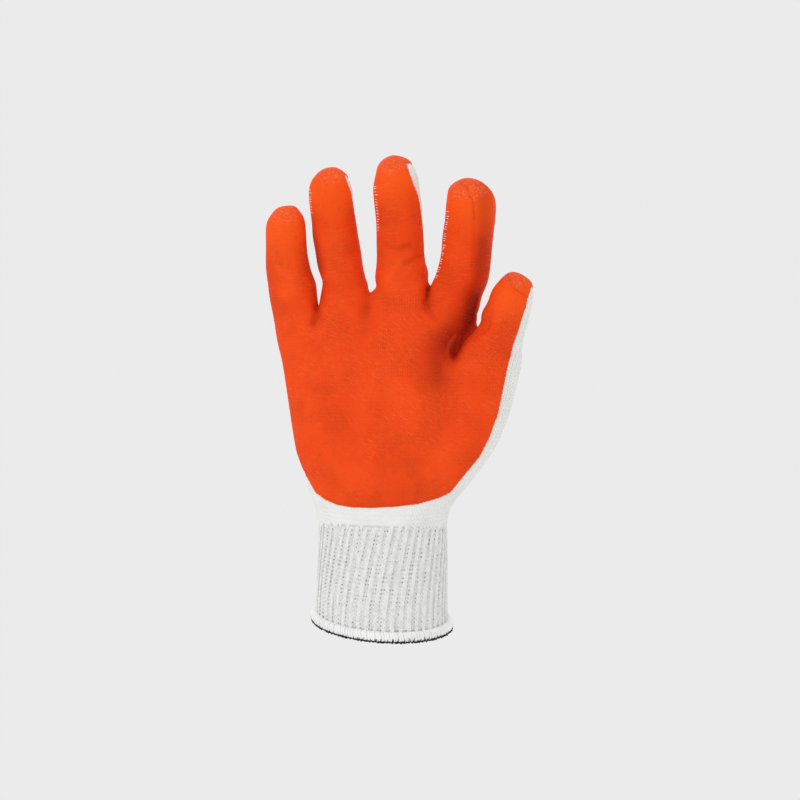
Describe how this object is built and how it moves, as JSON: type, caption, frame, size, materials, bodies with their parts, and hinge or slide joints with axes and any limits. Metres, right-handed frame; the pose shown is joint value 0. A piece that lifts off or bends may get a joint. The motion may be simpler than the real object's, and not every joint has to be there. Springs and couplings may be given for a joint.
{
  "type": "latex coated grip glove",
  "caption": "Right-hand work glove in its worn form: white knitted shell, orange latex over palm and fingertips, elastic ribbed cuff with an overlocked hem.",
  "frame": {"origin": "centre of the wrist opening, at the cuff's mouth", "axes": "+Z from the wrist opening to the fingertips, -Y out of the latex palm, +X to the thumb"},
  "size_m": [0.1353, 0.0849, 0.2397],
  "materials": {
    "knit": "white plain knitted cotton and polyester yarn, matt",
    "latex": "orange natural latex, satin, with the knit's texture pressed through",
    "ribbing": "white elastic rib knit, matt",
    "overlock": "white overlocked edge, matt",
    "thread": "black polyester edge thread, matt"
  },
  "bodies": {
    "root": {"knit_liner": "knit", "latex_coating": "latex", "rib_cuff": "ribbing", "hem": "overlock", "edge_thread": "thread"}
  },
  "joints": []
}
